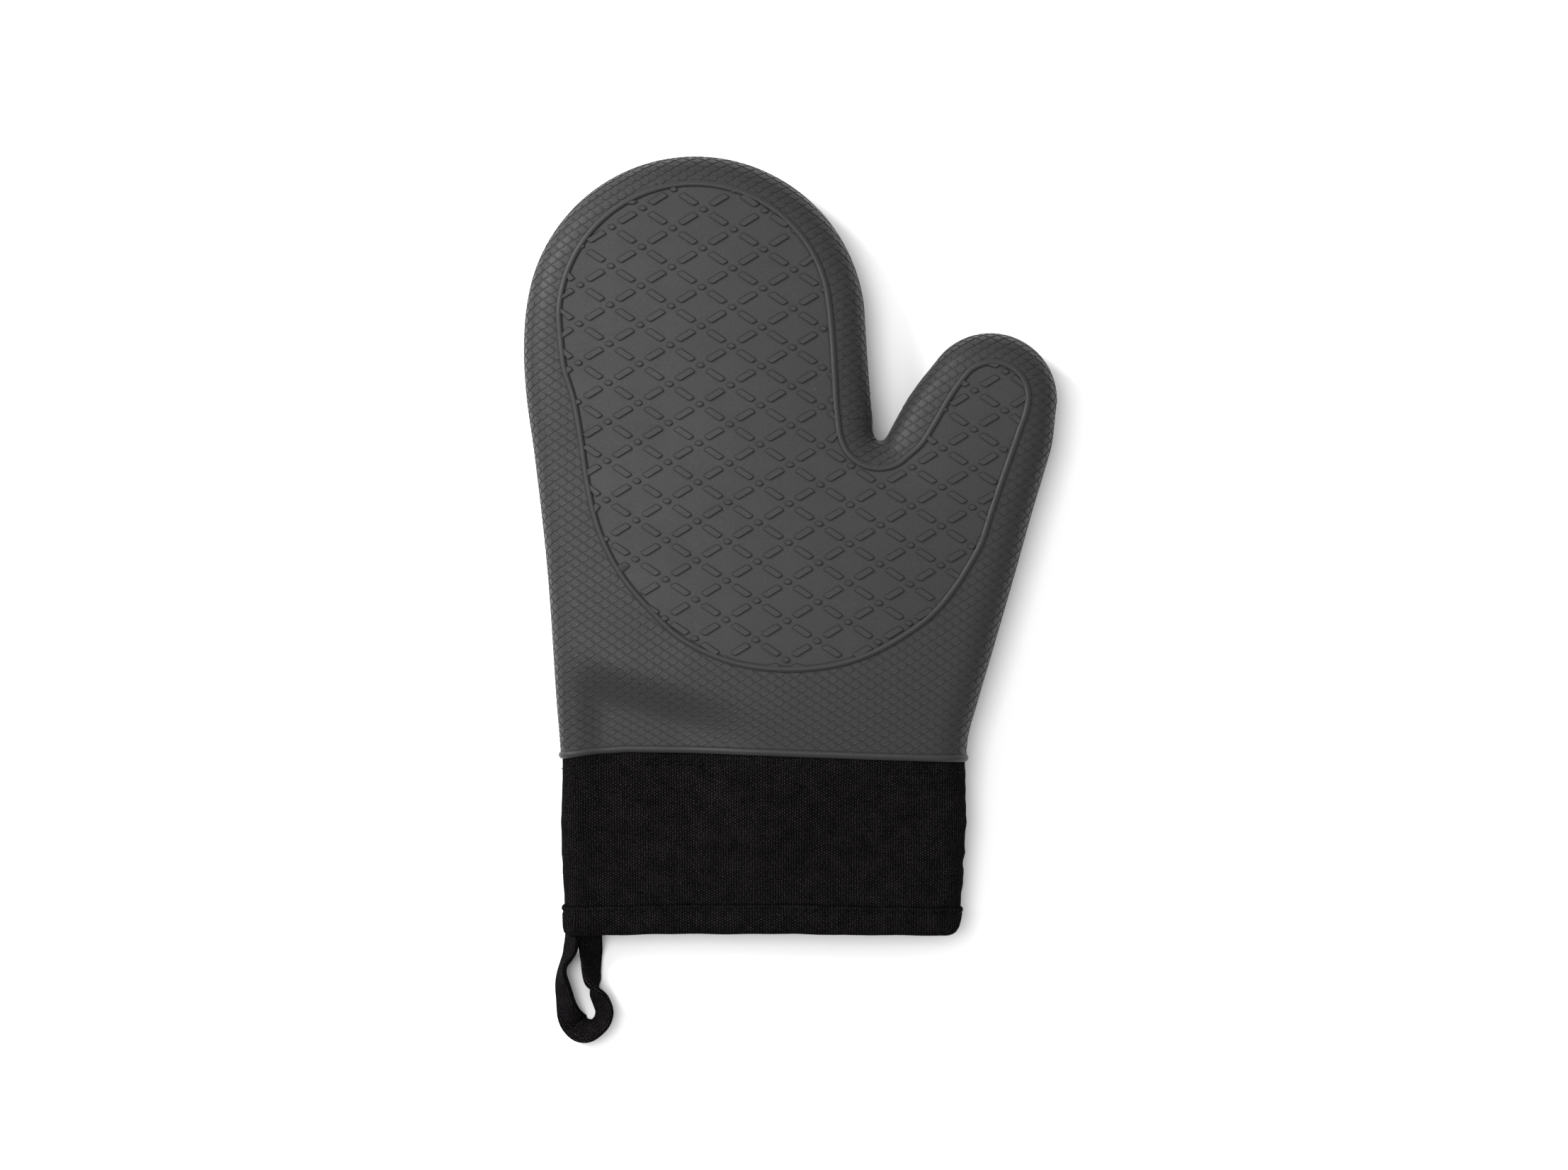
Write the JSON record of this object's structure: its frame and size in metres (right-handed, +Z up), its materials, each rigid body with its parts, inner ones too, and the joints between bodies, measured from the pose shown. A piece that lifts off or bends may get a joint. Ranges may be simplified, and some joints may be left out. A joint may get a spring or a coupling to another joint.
{
  "type": "oven mitt",
  "caption": "Silicone oven mitt with a raised diamond grip, padded cotton liner, black canvas cuff and a fabric hanging loop, lying palm up with fingers and thumb that flex.",
  "frame": {"origin": "bottom centre of the bounding box, on the surface the mitt lies on", "axes": "+X towards the thumb, +Y towards the fingertips, +Z up out of the palm"},
  "size_m": [0.1844, 0.3057, 0.03],
  "materials": {
    "silicone": "matt dark grey silicone, finely embossed",
    "wadding": "needled cotton wadding",
    "lining": "quilted cotton lining",
    "canvas": "black plain-weave canvas",
    "thread": "spun polyester thread"
  },
  "bodies": {
    "palm": {"silicone_palm": "silicone", "wadding_palm_front": "wadding", "wadding_palm_back": "wadding", "lining_palm_front": "lining", "lining_palm_back": "lining", "cuff_front": "canvas", "cuff_back": "canvas", "hem_binding": "canvas", "rim_stitching": "thread", "hem_stitching": "thread", "loop_sewn_ends": "canvas"},
    "fingers": {"silicone_finger": "silicone", "wadding_finger_front": "wadding", "wadding_finger_back": "wadding", "lining_finger_front": "lining", "lining_finger_back": "lining"},
    "thumb": {"silicone_thumb": "silicone", "wadding_thumb_front": "wadding", "wadding_thumb_back": "wadding", "lining_thumb_front": "lining", "lining_thumb_back": "lining"},
    "loop": {"hanging_loop": "canvas"}
  },
  "joints": [
    {"name": "finger_flex", "type": "hinge", "parent": "palm", "child": "fingers", "pos_m": [0, 0.08, 0.03], "axis": [1, 0, 0], "range_deg": [0, 50], "stiffness_Nm_per_rad": 0.2},
    {"name": "thumb_flex", "type": "hinge", "parent": "palm", "child": "thumb", "pos_m": [0.06469, 0.05043, 0.03], "axis": [0.8319, -0.5549, 0], "range_deg": [0, 50], "stiffness_Nm_per_rad": 0.08},
    {"name": "loop_swing", "type": "hinge", "parent": "palm", "child": "loop", "pos_m": [-0.072, -0.1223, 0.0046], "axis": [-1, 0, 0], "range_deg": [-90, 90]}
  ]
}
